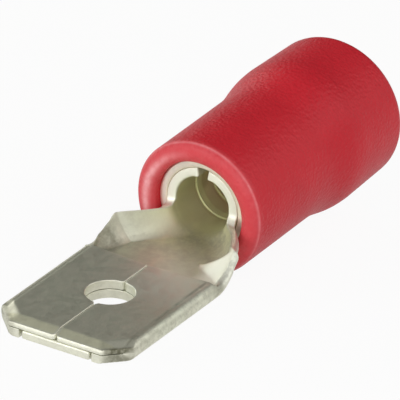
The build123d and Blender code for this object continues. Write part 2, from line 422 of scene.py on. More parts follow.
@dataclass
class BladeTerminal:
    """The one sheet that is folded into the tab and rolled into the barrel.

    The flat sheet is described by X and by the distance along its section from
    the middle of the underside. Every section is bent into place, which keeps
    the tab, the channel and the barrel one unbroken sheet. A pair of places
    gives where something is absent, then where it is full.
    """

    name: str = "blade_terminal_sheet"
    sheet: float = 0.40
    # The tab: its folds, its seam and the crease beside each fold
    tab_half: float = 3.175
    thickness: float = 0.83
    seam_half: float = 0.016
    flap_end: XY = (6.72, 6.86)
    upper_layer: float = 0.6
    crease_depth: float = 0.016
    crease_beside: XY = (0.02, 0.05)
    crease_fade: XY = (0.5, 1.1)
    # The tab's tip: cut corners, slopes and rounded folds
    tip_zone: float = 1.9
    tip_back: float = 0.004
    corner_cut: float = 1.00
    corner_under: float = 0.12
    lead_in: XY = (0.46, 0.18)
    slope_spare: float = 0.004
    slope_blend: float = 0.012
    face_blend: float = 0.008
    fold_round_fade: XY = (2.0, 0.4)
    # The slit beside the tongue: place, width and depth, and its corners
    slit_place: float = 1.65
    slit_size: XY = (0.10, 0.45)
    slit_corners: XY = (0.12, 0.06)
    # Tarnish at the cut corners: where it starts and how far it reaches, how
    # much less it is where layers meet, and how much is left on the lower one
    stain_edge: XY = (0.07, 0.08)
    stain_gap: float = 0.8
    stain_under: float = 0.75
    hole_at: float = 3.95
    hole_radius: float = 1.0
    # The channel's sections at the knots along X, up to the barrel
    channel_start: float = 6.80
    kink: float = 8.62
    width_knots: Sizes = (6.8, 7.2, 7.6, 8.0, 8.3, 8.62)
    rear_knots: Sizes = (8.62, 9.10, 9.60, 10.20, 10.80)
    left_width: Sizes = (3.175, 3.22, 3.22, 3.15, 3.07, 2.98)
    left_foot: Sizes = (2.755, 2.56, 2.36, 2.18, 2.06, 1.98)
    left_bend: Sizes = (0.415, 0.54, 0.72, 0.92, 1.15, 1.35)
    left_splay: Sizes = (0.0, 0.30, 0.55, 0.65, 0.70, 0.75)
    right_width: Sizes = (3.175, 3.222, 3.240, 3.220, 3.14, 2.98, 2.80, 2.58, 2.22)
    right_foot: Sizes = (2.755, 2.71, 2.50, 1.98, 1.52, 1.20, 1.40, 1.10, 0.60)
    right_bend: Sizes = (0.415, 0.47, 0.60, 0.84, 1.06, 1.24, 1.16, 1.24, 1.45)
    right_splay: Sizes = (0.0, 0.04, 0.22, 0.55, 0.72, 0.80, 0.20, 0.08, 0.0)
    foot_ease: float = 0.14
    unroll_delay: float = 0.08
    unroll_reach: XY = (0.25, 0.60)
    # How early each wall is round at the barrel, and how softly it gets there
    left_arrival: XY = (1.16, 0.06)
    right_arrival: XY = (1.075, 0.03)
    # The right kink's lean, and the tab's small turn aside
    kink_lean: float = 0.08
    lean_across: XY = (3.3, 1.7)
    lean_front: XY = (6.95, 7.55)
    lean_rear: XY = (10.80, 9.60)
    yaw: float = 0.0157
    yaw_pivot: float = 4.0
    # The walls' upper edges
    top_knots: Sizes = (
        6.8, 7.1, 7.41, 7.62, 7.84, 8.05, 8.27, 8.48, 8.60, 8.72, 9.5, 10.4, 10.8)
    left_height: Sizes = (
        0.56, 0.63, 0.73, 0.81, 0.90, 1.03, 1.20, 1.39, 1.45, 1.46, 1.42, 1.37, 1.37)
    right_height: Sizes = (
        0.54, 0.62, 0.70, 0.77, 0.85, 0.95, 1.10, 1.29, 1.375, 1.39, 1.375, 1.345, 1.34)
    search_reach: float = 5.0
    search_steps: int = 40
    # The barrel, its seam and its grip grooves
    barrel_start: float = 10.80
    barrel_end: float = 16.60
    barrel_radius: float = 1.665
    barrel_foot: float = 0.005
    barrel_seam: float = 0.235
    barrel_fillet: float = 0.30
    groove_starts: Sizes = (12.25, 13.40, 14.55)
    groove: XY = (0.30, 0.10)
    groove_sides: XY = (0.06, 0.03)
    groove_tail: XY = (0.55, 0.26)
    # How the edges are rounded, on the outer and the inner side
    plain_round: XY = (0.05, 0.05)
    fold_round: XY = (0.05, 0.012)
    tip_round: XY = (0.06, 0.03)
    flap_round: XY = (0.055, 0.03)
    flap_end_round: XY = (0.05, 0.03)
    notch_round: XY = (0.04, 0.012)
    tongue_round: XY = (0.11, 0.11)
    slit_round: XY = (0.03, 0.03)
    hole_round: XY = (0.045, 0.03)
    barrel_corner_round: XY = (0.045, 0.045)
    left_wall_round: XY = (0.36, 0.02)
    right_wall_round: XY = (0.20, 0.08)
    left_wall_cut: float = 0.60
    round_steps: int = 5
    # Steps from point to point along edges and over folds, and how far the
    # points inside stay from an edge
    steps: tuple[float, float, float, float] = (0.08, 0.07, 0.06, 0.04)
    fold_step: float = 0.03
    edge_clear: float = 0.045

    def __post_init__(self) -> None:
        """Work out the places along the section that the sizes give."""
        self.cut_start: float = self.tab_half - self.corner_cut
        self.flank: float = self.tab_half - self.thickness / 2
        self.fold_radius: float = self.thickness / 2 - self.sheet / 2
        self.quarter_fold: float = QUARTER_TURN * self.fold_radius
        self.flap_start: float = self.flank + 2 * self.quarter_fold
        self.seam_side: float = 2 * self.flank + 2 * self.quarter_fold

    def section(self, x: Array, left: Array, u: Array) -> tuple[Array, ...]:
        """Give the shape of the bent section at each place.

        Args:
            x: places along X.
            left: True where the place is on the left.
            u: distance along the section from the underside's middle.

        Returns:
            Half-width of the flat foot, width and height of the bend, and how
            far the wall is splayed, from 0, upright, to 1, a straight ramp.
        """
        half = self.sheet / 2
        lean = (self.kink_lean * ramp(u, *self.lean_across)
                * ramp(x, *self.lean_front) * ramp(x, *self.lean_rear))
        near = np.where(left, x, x + lean)
        run = self.barrel_start - self.kink
        t = np.clip((near - self.kink) / run, 0, 1)
        arrivals = (self.left_arrival, self.right_arrival)
        t = np.where(left, *(soft_min(t * early, 1.0, blend)
                             for early, blend in arrivals))
        t = np.where(x < self.barrel_start, t, 1.0)
        knots = len(self.width_knots)

        def side(left_values: Sizes, right_values: Sizes, fold: float,
                 barrel: float) -> Array:
            """Read one size of the section all along the sheet.

            Args:
                left_values: sizes on the left.
                right_values: sizes on the right.
                fold: the folded tab's size.
                barrel: the barrel's size.

            Returns:
                The size at every point.
            """
            front = np.where(left, *(smooth_through(near, self.width_knots, values)
                                     for values in (left_values, right_values[:knots])))
            rear = np.where(
                left, front + t * (barrel - front),
                smooth_through(self.kink + t * run, self.rear_knots,
                               right_values[knots - 1:] + (barrel,)))
            made = np.where(near > self.kink, rear, front)
            return np.where(x < self.channel_start, fold, made)

        foot = side(self.left_foot, self.right_foot, self.flank, self.barrel_foot)
        width = side(self.left_width, self.right_width, self.tab_half,
                     self.barrel_radius)
        bend = side(self.left_bend, self.right_bend, self.thickness / 2,
                    self.barrel_radius)
        splay = side(self.left_splay, self.right_splay, 0.0, 0.0)
        return foot, width - half - foot, bend - half, splay

    def place(self, x: Array, s: Array, t: Array) -> Array:
        """Bend points of the flat sheet into place.

        Args:
            x: places along X.
            s: signed distance along the section from the underside's middle.
            t: distance outward from the middle of the sheet.

        Returns:
            Drawn points in millimetres, one to a row.
        """
        left, u = s >= 0, np.abs(s)
        t = self.with_grooves(x, t)
        y, z, ny = self.unroll(x, left, u, t)
        reach = ramp(x, *self.fold_round_fade) * (x < self.channel_start)
        x = np.maximum(x + np.where(u > self.flank, t * ny * reach, 0.0), self.tip_back)
        z = self.shape_tab(x, y, z)
        aside = self.yaw * (self.yaw_pivot - np.minimum(x, self.channel_start))
        aside = aside * ramp(x, self.kink, self.channel_start)
        return np.stack([x, np.where(left, y, -y) + aside, z], axis=1)

    def unroll(self, x: Array, left: Array, u: Array,
               t: Array) -> tuple[Array, Array, Array]:
        """Bend the sheet, which opens gradually behind the folded tab.

        Args:
            x: places along X.
            left: True where the place is on the left.
            u: distance along the section from the underside's middle.
            t: distance outward from the middle of the sheet.

        Returns:
            Distance from the middle plane, height, and the surface's lean.
        """
        reach = np.where(left, *self.unroll_reach)
        begin = self.channel_start + self.unroll_delay
        share = ramp(x, begin + reach, begin)
        share = share * share * (3 - 2 * share)
        share = np.where(x >= self.barrel_start - TINY, 1.0, share)
        y, z, ny = (a + share * (b - a) for a, b in zip(
            self.bend(x, left, u, t, False), self.bend(x, left, u, t, True)))
        return y, z, ny

    def bend(self, x: Array, left: Array, u: Array, t: Array,
             over: bool) -> tuple[Array, Array, Array]:
        """Bend the sheet once, or once more so that it folds over.

        Args:
            x: places along X.
            left: True where the place is on the left.
            u: distance along the section from the underside's middle.
            t: distance outward from the middle of the sheet.
            over: whether the sheet goes on past upright.

        Returns:
            Distance from the middle plane, height, and the surface's lean.
        """
        foot, a, b, splay = self.section(x, left, u)
        if over:
            splay = np.zeros_like(splay)
        arc = np.sqrt((a * a + b * b) / 2) * (
            (1 - splay) * QUARTER_TURN + splay * ROOT_2)
        turns = 2.0 if over else 1.0
        phi = np.clip((u - foot) / arc, 0, turns) * QUARTER_TURN
        rest = np.clip(u - foot - turns * arc, 0, None)
        slope, share = splay / QUARTER_TURN, phi / QUARTER_TURN
        ease = 1 - np.exp(-share / self.foot_ease)
        rise = share - self.foot_ease * ease
        dy = a * ((1 - splay) * np.cos(phi) + slope)
        dz = b * ((1 - splay) * np.sin(phi) + slope * ease)
        dy = np.where(u < foot, 1.0, dy)
        dz = np.where(u < foot, 0.0, dz)
        length = np.hypot(dy, dz)
        ny, nz = dz / length, -dy / length
        y = np.minimum(u, foot) + a * ((1 - splay) * np.sin(phi) + slope * phi)
        z = self.sheet / 2 + b * ((1 - splay) * (1 - np.cos(phi)) + splay * rise)
        if over:
            y = y - rest
        else:
            y = y + rest * dy / length
            z = z + rest * dz / length
        return y + t * ny, z + t * nz, ny

    def with_grooves(self, x: Array, t: Array) -> Array:
        """Press the wire-grip grooves into the inner side of the barrel.

        Args:
            x: places along X.
            t: distance outward from the middle of the sheet.

        Returns:
            The distances with the grooves in them.
        """
        (width, depth), (front, rear) = self.groove, self.groove_sides
        share, tail = self.groove_tail
        press = np.zeros_like(x)
        for start in self.groove_starts:
            end = start + width
            rise, fall = ramp(x, start, start + front), ramp(x, end, end - rear)
            fall = np.maximum(fall, share * ramp(x, end + tail, end))
            press = np.maximum(press, np.minimum(rise, fall))
        return t + depth * press * np.clip(-t / (self.sheet / 2), 0, 1)

    def shape_tab(self, x: Array, y: Array, z: Array) -> Array:
        """Form the lead-in slopes, the corner slopes and the fold's crease.

        Args:
            x: places along X.
            y: distance from the middle plane.
            z: height above the tab's underside.

        Returns:
            The new height.
        """
        run, drop = self.lead_in
        corner = (x - (y - self.cut_start)) / ROOT_2
        top = self.thickness + self.slope_spare
        slope = soft_min(top - drop * (1 - x / run), top - drop * (1 - corner / run),
                         self.slope_blend)
        tip = soft_min(z, slope, self.face_blend)
        tip = -soft_min(-tip, corner - self.corner_under, self.face_blend)
        z = np.where(x < self.tip_zone, tip, z)
        offset, width = self.crease_beside
        crease = (self.crease_depth * bell(y, self.flank + offset, width)
                  * ramp(x, *self.crease_fade))
        on_top = (z > self.upper_layer) & (x < self.channel_start)
        return np.maximum(z - np.where(on_top, crease, 0.0), 0.0)

    def top_edge(self, x: Array, left: bool) -> Array:
        """Find where the channel wall's upper edge lies on the flat sheet.

        Args:
            x: places along X.
            left: whether the wall is the left one.

        Returns:
            Distance along the section.
        """
        sides = np.full(x.shape, left)
        height = smooth_through(
            x, self.top_knots, self.left_height if left else self.right_height)
        low, high = np.zeros_like(x), np.full(x.shape, self.search_reach)
        for _ in range(self.search_steps):
            mid = (low + high) / 2
            _, z, _ = self.unroll(x, sides, mid, np.zeros_like(x))
            low = np.where(z < height, mid, low)
            high = np.where(z < height, high, mid)
        return (low + high) / 2

    def half_outline(self, left: bool) -> list[EdgeRow]:
        """Walk round one half of the flat sheet, from the tip to the far end.

        Args:
            left: whether this is the left half.

        Returns:
            Rows of X, distance along the section, outer and inner rounding.
        """
        walk = EdgeWalk()
        self.walk_tongue(walk)
        self.walk_fold(walk)
        self.walk_flap(walk)
        self.walk_wall(walk, left)
        self.walk_barrel(walk, left)
        return walk.rows

    def walk_tongue(self, walk: EdgeWalk) -> None:
        """Walk along the lower layer's front, round the tongue and its slit.

        Args:
            walk: the outline, which the new points go to.
        """
        gap, depth = self.slit_size
        near, far = self.slit_place - gap / 2, self.slit_place + gap / 2
        wide, _, fine, least = self.steps
        big, small = self.slit_corners
        bottom = depth - gap / 2
        walk.run((0, 0), (0, near - big - least / 2), wide, self.tongue_round)
        walk.turn((big, near - big), big, (180, 90), 8, self.tongue_round)
        walk.run((big + fine, near), (bottom, near), fine, self.slit_round)
        walk.turn((bottom, self.slit_place), gap / 2, (-90, 90), 8, self.slit_round)
        walk.run((bottom - least, far), (small + least / 2, far), fine, self.slit_round)
        walk.turn((small, far + small), small, (-90, -180), 6, self.plain_round)
        walk.run((0, far + 2 * small), (0, self.cut_start), wide, self.tip_round)

    def walk_fold(self, walk: EdgeWalk) -> None:
        """Walk along both layers' cut corner and over the fold between them.

        Args:
            walk: the outline, which the new points go to.
        """
        step, count = self.steps[1], 24
        inner = self.flank - self.cut_start
        walk.run((0, self.cut_start), (inner, self.flank), step, self.tip_round)
        for i in range(count):
            phi = math.pi * i / count
            u = self.flank + self.quarter_fold * phi / QUARTER_TURN
            walk.add(inner + self.fold_radius * math.sin(phi), u, self.fold_round)
        walk.run((inner, self.flap_start), (0, self.flap_start + inner), step,
                 self.tip_round)

    def walk_flap(self, walk: EdgeWalk) -> None:
        """Walk along the flap's front, its seam, half of the hole and its end.

        Args:
            walk: the outline, which the new points go to.
        """
        wide, fine, radius, corner = self.steps[0], self.steps[2], 0.18, 0.10
        edge = self.seam_side - self.seam_half
        first, last = self.hole_at - self.hole_radius, self.hole_at + self.hole_radius
        end, end_fold = self.flap_end
        walk.run((0, self.flap_start + self.flank - self.cut_start),
                 (0, edge - radius - self.steps[3]), wide, self.tip_round)
        walk.turn((radius, edge - radius), radius, (180, 90), 10, self.tip_round)
        walk.run((radius + wide, edge), (first - fine, edge), wide, self.flap_round)
        count, clear = 36, 0.10
        begin = math.asin(self.seam_half / self.hole_radius) + clear
        for i in range(count + 1):
            angle = begin + (math.pi - 2 * begin) * i / count
            x = self.hole_at - self.hole_radius * math.cos(angle)
            u = self.seam_side - self.hole_radius * math.sin(angle)
            walk.add(x, u, self.hole_round)
        walk.run((last + fine, edge), (end - 0.12, edge), wide, self.flap_round)
        walk.turn((end - corner, edge - corner), corner, (90, 0), 6,
                  self.flap_end_round)
        walk.run((end, edge - corner - fine), (end_fold, self.flap_start), wide,
                 self.flap_end_round)

    def walk_wall(self, walk: EdgeWalk, left: bool) -> None:
        """Walk down into the notch behind the flap and along the wall's top.

        Args:
            walk: the walk so far.
            left: whether this is the left wall.
        """
        start = self.flap_end[1]
        end = self.barrel_start - self.barrel_fillet
        first = start + 0.12
        low = float(self.top_edge(np.array([first]), left)[0])
        walk.run((start, self.flap_start), (start, low + 0.10), self.steps[3],
                 self.notch_round)
        for dx, du in ((0.0, 0.09), (0.008, 0.055), (0.035, 0.02), (0.075, 0.004)):
            walk.add(start + dx, low + du, (self.notch_round[0], self.flap_round[1]))
        places = np.concatenate([
            np.arange(first, 8.5, 0.06), np.arange(8.5, 8.82, 0.03),
            np.arange(8.85, end - 0.02, 0.07)])
        outer, inner = self.left_wall_round if left else self.right_wall_round
        plain = self.plain_round[0]
        for x, u in zip(places, self.top_edge(places, left)):
            ease = max(0.0, min(1.0, (x - start) / 0.5, (end - x) / 0.4))
            walk.add(float(x), float(u), (plain + (outer - plain) * ease, inner))

    def walk_barrel(self, walk: EdgeWalk, left: bool) -> None:
        """Walk round the barrel's front, its seam and its far end.

        Args:
            walk: the walk so far.
            left: whether this is the left half.
        """
        x0, x1, fillet = self.barrel_start, self.barrel_end, self.barrel_fillet
        plain, corner, clear = self.plain_round, self.barrel_corner_round, 0.14
        front, rear = 0.09, 0.08
        low = float(self.top_edge(np.array([x0 - fillet]), left)[0]) + fillet
        top = (self.barrel_foot + math.pi * (self.barrel_radius - self.sheet / 2)
               - self.barrel_seam)
        walk.turn((x0 - fillet, low), fillet, (-90, 0), 10, plain)
        start = len(walk.rows)
        walk.run((x0, low + plain[0]), (x0, top - clear), self.steps[1],
                 (plain[0], self.tongue_round[1]))
        for i, (x, u, outer, inner) in enumerate(walk.rows[start:], start):
            fade = min(1.0, (u - low - plain[0]) / 0.3, (top - clear - u) / 0.2)
            walk.rows[i] = (x, u, outer, plain[1] + (inner - plain[1]) * max(0.0, fade))
        walk.turn((x0 + front, top - front), front, (180, 90), 6, corner)
        walk.run((x0 + 0.16, top), (x1 - 0.12, top), 0.12, plain)
        walk.turn((x1 - rear, top - rear), rear, (90, 0), 5, corner)
        walk.run((x1, top - clear), (x1, 0.0), 0.09, plain)

    def loops(self) -> list[EdgeLoop]:
        """Join both halves into the sheet's outline and add the lower hole.

        Returns:
            The outline and the hole.
        """
        right = self.half_outline(False)[1:]
        table = np.array([
            *self.half_outline(True), (self.barrel_end, 0.0, *self.plain_round),
            *((x, -u, outer, inner) for x, u, outer, inner in reversed(right))])
        outer = table[:, 2]
        cut = outer + (self.left_wall_cut - outer) * ramp(
            outer, self.right_wall_round[0], self.left_wall_round[0])
        count = 96
        turns = np.arange(count) * FULL_TURN / count
        hole = np.stack([self.hole_at + self.hole_radius * np.cos(turns),
                         self.hole_radius * np.sin(turns)], axis=1)
        shallow, fine = (np.full(count, size) for size in self.hole_round)
        return [EdgeLoop(table[:, :2], outer, table[:, 3], cut),
                EdgeLoop(hole, shallow, fine, shallow, True)]

    def inner_grid(self) -> Array:
        """Spread points over the flat sheet, closer where it bends.

        Returns:
            The points, one to a row.
        """
        fold = np.arange(self.flank - 0.16, self.flap_start + 0.20, self.fold_step)
        rows = []

        def zone(xs: Array, us: Array) -> None:
            """Add a grid of points on both sides.

            Args:
                xs: places along X.
                us: places across, on one side.
            """
            both = np.unique(np.round(np.concatenate([us, -us]), 5))
            gx, gs = np.meshgrid(xs, both)
            rows.append(np.stack([gx.ravel(), gs.ravel()], axis=1))

        for places, spread in ((np.arange(0.05, 1.35, 0.055), 0.085),
                               (np.arange(1.42, 6.70, 0.15), 0.17)):
            zone(places, np.concatenate([
                np.arange(0, self.flank - 0.2, spread), fold,
                np.arange(self.flap_start + 0.25, self.seam_side, spread)]))
        for places, spread in ((np.arange(6.78, 8.58, 0.075), 0.065),
                               (np.array([8.59, 8.62, 8.65]), 0.065),
                               (np.arange(8.72, 10.80, 0.09), 0.075)):
            zone(places, np.arange(0, 3.7, spread))
        edges = [start + d for start in self.groove_starts
                 for d in (-0.02, 0.0, 0.03, 0.06, 0.12, 0.20, 0.265, 0.285, 0.30,
                           0.36, 0.44, 0.52, 0.56, 0.60)]
        keep = [x for x in np.arange(10.81, 16.58, 0.17)
                if min(abs(x - e) for e in edges) > 0.05]
        zone(np.array(sorted(keep + edges)), np.arange(0, 4.4, 0.075))
        return np.concatenate(rows)

    def mesh_arrays(self) -> tuple[Array, Faces, Array]:
        """Cover both sides of the sheet and close it with rounded edges.

        Returns:
            Drawn points, faces, and how near each point is to an edge.
        """
        loops, grid, half = self.loops(), self.inner_grid(), self.sheet / 2
        points: list[Array] = []
        edge: list[Array] = []
        faces: Faces = []
        rims: list[list[list[int]]] = []
        base = 0
        for side in (1, -1):
            rings = [loop.points + loop.inward() * (
                loop.outer_cut if side > 0 else loop.inner_round)[:, None]
                for loop in loops]
            flat, tris, ring_ids = self.cover(rings, grid)
            points.append(self.place(*flat.T, np.full(len(flat), side * half)))
            near = np.zeros(len(flat))
            near[np.concatenate([np.array(ids) for ids in ring_ids])] = 0.6
            edge.append(near)
            faces.extend(tuple(base + i for i in tri) for tri in tris)
            rims.append([[base + i for i in ids] for ids in ring_ids])
            base += len(flat)
        steps = self.round_steps
        profile = ([(1, k / steps) for k in range(1, steps + 1)]
                   + [(-1, k / steps) for k in range(steps)])
        for number, loop in enumerate(loops):
            rows = [rims[0][number]]
            for side, share in profile:
                inset, t = loop.rounding(side, share, half)
                flat = loop.points + loop.inward() * inset[:, None]
                points.append(self.place(*flat.T, t))
                edge.append(np.ones(len(flat)))
                rows.append(list(range(base, base + len(flat))))
                base += len(flat)
            rows.append(rims[1][number])
            for upper, lower in zip(rows, rows[1:]):
                for i, j in zip(range(len(upper)), [*range(1, len(upper)), 0]):
                    faces.append((upper[i], upper[j], lower[j], lower[i]))
        return np.concatenate(points), faces, np.concatenate(edge)

    def cover(self, rings: list[Array],
              grid: Array) -> tuple[Array, Faces, list[list[int]]]:
        """Fill the flat sheet with triangles between its edges.

        Args:
            rings: closed edges, the outline first.
            grid: points to use inside.

        Returns:
            Flat points, triangles, and each ring's point numbers.
        """
        edge_points = np.concatenate(rings)
        tree = kdtree.KDTree(len(edge_points))
        for i, point in enumerate(edge_points):
            tree.insert((*point, 0.0), i)
        tree.balance()
        grid = grid[inside_loops(grid, rings)]
        clear = [tree.find((*point, 0.0))[2] > self.edge_clear for point in grid]
        flat = np.concatenate([edge_points, grid[np.array(clear)]])
        numbers, edges = [], []
        for ring in rings:
            start = sum(len(ids) for ids in numbers)
            numbers.append(list(range(start, start + len(ring))))
            edges.extend(zip(numbers[-1], numbers[-1][1:] + numbers[-1][:1]))
        verts, _, tris, origins, *_ = geometry.delaunay_2d_cdt(
            [Vector(p) for p in flat.tolist()], edges, [], 0, 1e-7)
        new_of = {old: new for new, olds in enumerate(origins) for old in olds}
        on_ring = {new_of[i] for i in range(len(edge_points))}
        made = np.array([tuple(v) for v in verts])
        kept = [tuple(tri) for tri in tris if not on_ring.issuperset(tri)]
        doubtful = [tuple(tri) for tri in tris if on_ring.issuperset(tri)]
        if doubtful:
            centres = np.array([made[list(tri)].mean(axis=0) for tri in doubtful])
            good = inside_loops(centres, rings)
            kept.extend(tri for tri, ok in zip(doubtful, good) if ok)
        return made, kept, [[new_of[i] for i in ids] for ids in numbers]

    def corner_stain(self, points: Array) -> Array:
        """Give how tarnished the two cut corners are, less where layers meet.

        Args:
            points: drawn points.

        Returns:
            How stained each point is.
        """
        x, y, z = points.T
        start, width = self.stain_edge
        right, left = (
            bell(np.maximum((x + side + self.cut_start) / ROOT_2 - start, 0), 0, width)
            for side in (y, -y))
        layers = np.clip(bell(z, 0.405, 0.015) + bell(z, 0.70, 0.03), 0, 1)
        right = right * RIGHT_CORNER.share(points) * (1 - self.stain_gap * layers)
        right = right * np.where(z > self.sheet, 1.0, self.stain_under)
        return right + left * LEFT_CORNER.share(points)

    def build(self) -> bpy.types.Object:
        """Make the sheet's object.

        Returns:
            The object.
        """
        points, faces, edge = self.mesh_arrays()
        marks = {wear.name.lower(): wear.share(points) for wear in Wear}
        # These marks are mostly painted shade; the cut corners' real tarnishing is
        # added to them here
        marks["stain_and_shade"] = np.clip(marks["stain_and_shade"] + self.corner_stain(points), 0, 1)
        marks["hollow"] = marks["hollow"] * (1 - edge)
        marks["edge"] = edge
        return make_object(self.name, POSE.lay_down(points), faces, marks)


def set_out(name: str, data: bpy.types.ID) -> bpy.types.Object:
    """Make an object of a mesh, a lamp or a camera, and put it in the scene.

    Args:
        name: the object's name.
        data: what it is made of.

    Returns:
        The object.
    """
    made = bpy.data.objects.new(name, data)
    bpy.context.scene.collection.objects.link(made)
    return made


def make_object(name: str, points: Array, faces: Faces,
                marks: dict[str, Array]) -> bpy.types.Object:
    """Make a smooth closed object from points and faces.

    Args:
        name: the object's name.
        points: resting points in metres.
        faces: faces as point numbers.
        marks: named values, one to a point, that the finishes read.

    Returns:
        The object, linked to the scene.
    """
    mesh = bpy.data.meshes.new(name)
    mesh.from_pydata(points.tolist(), [], faces)
    for mark, values in marks.items():
        layer = mesh.attributes.new(mark, "FLOAT", "POINT")
        layer.data.foreach_set("value", values.astype(np.float32))
    shape = bmesh.new()
    shape.from_mesh(mesh)
    bmesh.ops.dissolve_degenerate(shape, dist=1e-8, edges=shape.edges)
    bmesh.ops.recalc_face_normals(shape, faces=shape.faces)
    for face in shape.faces:
        face.smooth = True
    shape.to_mesh(mesh)
    shape.free()
    return set_out(name, mesh)


def bend_line(p0: XY, p1: XY, p2: XY, p3: XY, count: int) -> list[XY]:
    """Walk along a curve with two handles, without its last point.

    Args:
        p0: start.
        p1: handle of the start.
        p2: handle of the end.
        p3: end.
        count: number of steps.

    Returns:
        The points.
    """
    t = np.arange(count)[:, None] / count
    shares = ((1 - t) ** 3, 3 * t * (1 - t) ** 2, 3 * t * t * (1 - t), t**3)
    curve = sum(share * np.array(p) for share, p in zip(shares, (p0, p1, p2, p3)))
    return [(float(x), float(r)) for x, r in curve]


def round_corner(start: XY, corner: XY, end: XY, count: int,
                 hold: float = 0.55) -> list[XY]:
    """Walk round a corner, without the last point, with handles that reach to it."""
    first, last = ((x + hold * (corner[0] - x), r + hold * (corner[1] - r))
                   for x, r in (start, end))
    return bend_line(start, first, last, end, count)


def straight(start: XY, end: XY, count: int) -> list[XY]:
    """Walk along a straight line in steps, without its last point."""
    return [(start[0] + (end[0] - start[0]) * i / count,
             start[1] + (end[1] - start[1]) * i / count) for i in range(count)]


@dataclass
class TurnedPiece:
    """A closed outline turned about the barrel's axis.

    Attributes:
        name: the object's name.
        axis_height: height of the axis above the tab's underside.
        turns: number of steps round the axis.
    """

    name: str
    axis_height: float = 1.665
    turns: int = 256

    def outline(self) -> list[XY]:
        """Give the closed outline as rows of X and radius."""
        raise NotImplementedError

    def uneven(self, x: Array, r: Array, turn: Array) -> Array:
        """Give the small change of radius at each point, none by default."""
        return np.zeros_like(x + turn)

    def edge_marks(self, x: Array, r: Array, turn: Array) -> Array:
        """Give where a painted highlight lies, nowhere by default."""
        return np.zeros_like(x + r + turn)

    def painted_shine_marks(self, x: Array) -> Array:
        """Give how strong the painted highlight is at each point, nowhere by default.
        """
        return np.zeros_like(x)

    def build(self) -> bpy.types.Object:
        """Turn the outline about the axis.

        Returns:
            The object.
        """
        outline = np.array(self.outline())
        count = len(outline)
        angle, x = np.meshgrid(np.arange(self.turns) * FULL_TURN / self.turns,
                               outline[:, 0], indexing="ij")
        r = np.broadcast_to(outline[:, 1], x.shape)
        r = r + self.uneven(x, r, angle)
        points = np.stack([x, r * np.sin(angle), self.axis_height + r * np.cos(angle)],
                          axis=2).reshape(-1, 3)
        faces = []
        for i in range(self.turns):
            a, b = i * count, ((i + 1) % self.turns) * count
            for j in range(count):
                k = (j + 1) % count
                faces.append((a + j, a + k, b + k, b + j))
        marks = {"edge": self.edge_marks(x, r, angle).ravel(),
                 "painted_shine": self.painted_shine_marks(x).ravel()}
        return make_object(self.name, POSE.lay_down(points), faces, marks)


@dataclass
class SupportRing(TurnedPiece):
    """The plain tinned ring pressed over the barrel.

    Attributes:
        front_band: where along the ring the painted highlight on its front has
        ended and is full, from its start.
        front_shine: how strong that painted highlight is.
    """

    name: str = "support_ring_band"
    turns: int = 192
    start: float = 10.80
    length: float = 5.40
    inner: float = 1.675
    wall: float = 0.35
    edge: float = 0.07
    front_band: XY = (0.10, 0.04)
    front_shine: float = 0.3

    def outline(self) -> list[XY]:
        """Draw the ring's wall with round edges.

        Returns:
            Rows of X and radius.
        """
        x0, x1, e = self.start, self.start + self.length, self.edge
        r0, r1 = self.inner, self.inner + self.wall
        corners = (((x0 + e, r0), (x0, r0), (x0, r0 + e)),
                   ((x0, r1 - e), (x0, r1), (x0 + e, r1)),
                   ((x1 - e, r1), (x1, r1), (x1, r1 - e)),
                   ((x1, r0 + e), (x1, r0), (x1 - e, r0)))
        rows: list[XY] = []
        afters = corners[1:] + corners[:1]
        for corner, after, steps in zip(corners, afters, (5, 14, 4, 14)):
            rows += round_corner(*corner, 5)
            rows += straight(corner[2], after[0], steps)
        return rows

    def edge_marks(self, x: Array, r: Array, turn: Array) -> Array:
        """Mark the ring's front for a paler painted highlight."""
        return ramp(x - self.start, *self.front_band)

    def painted_shine_marks(self, x: Array) -> Array:
        """Mark the ring's front for a painted highlight, paler and less metallic."""
        return self.front_shine * ramp(x - self.start, *self.front_band)


